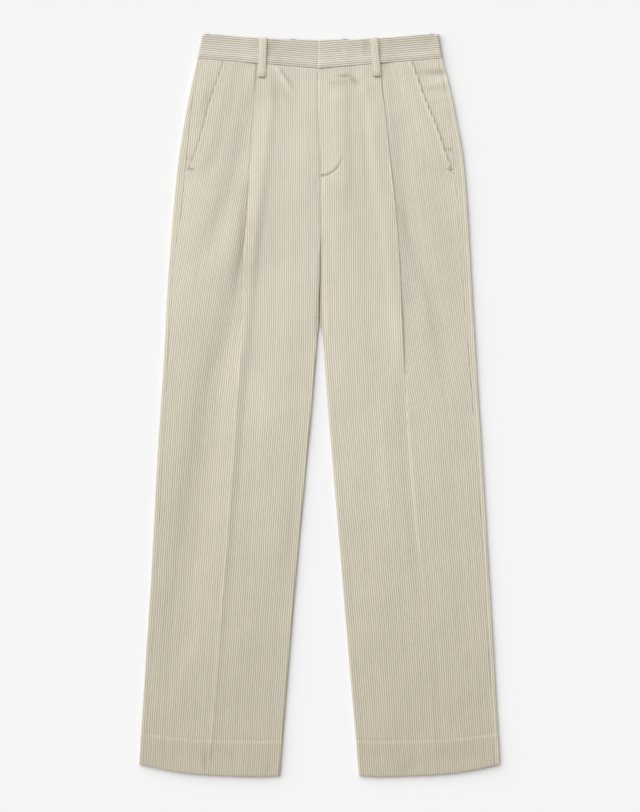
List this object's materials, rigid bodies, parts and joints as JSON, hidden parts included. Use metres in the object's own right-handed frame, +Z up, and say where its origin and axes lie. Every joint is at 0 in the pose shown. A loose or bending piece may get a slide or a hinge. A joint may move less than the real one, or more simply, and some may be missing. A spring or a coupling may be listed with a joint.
{
  "type": "corduroy trousers laid flat",
  "caption": "Pleated straight-leg corduroy trousers laid flat, front up, with waistband, belt loops, lapped fly, slant hip pockets and turned-up hems.",
  "frame": {"origin": "on the surface the garment lies on, under the middle of its box", "axes": "+X towards the wearer's left, +Y towards the waist, +Z up from the surface through the back and then the front"},
  "size_m": [0.5158, 1.06, 0.0125],
  "materials": {
    "panel_corduroy": "wide-wale cotton corduroy, pale stone",
    "back_corduroy": "wide-wale cotton corduroy, pale stone",
    "facing_corduroy": "wide-wale cotton corduroy, pale stone",
    "waistband_corduroy": "wide-wale cotton corduroy cut crosswise, pale stone",
    "loop_corduroy": "narrow folded strip of the same corduroy"
  },
  "bodies": {
    "root": {"front_right": "panel_corduroy", "front_left": "panel_corduroy", "back_right": "back_corduroy", "back_left": "back_corduroy", "pocket_facing_right": "facing_corduroy", "pocket_facing_left": "facing_corduroy", "waistband_right": "waistband_corduroy", "waistband_left": "waistband_corduroy", "belt_loop_front_right": "loop_corduroy", "belt_loop_front_left": "loop_corduroy", "belt_loop_back_right": "loop_corduroy", "belt_loop_back_centre": "loop_corduroy", "belt_loop_back_left": "loop_corduroy"}
  },
  "joints": []
}
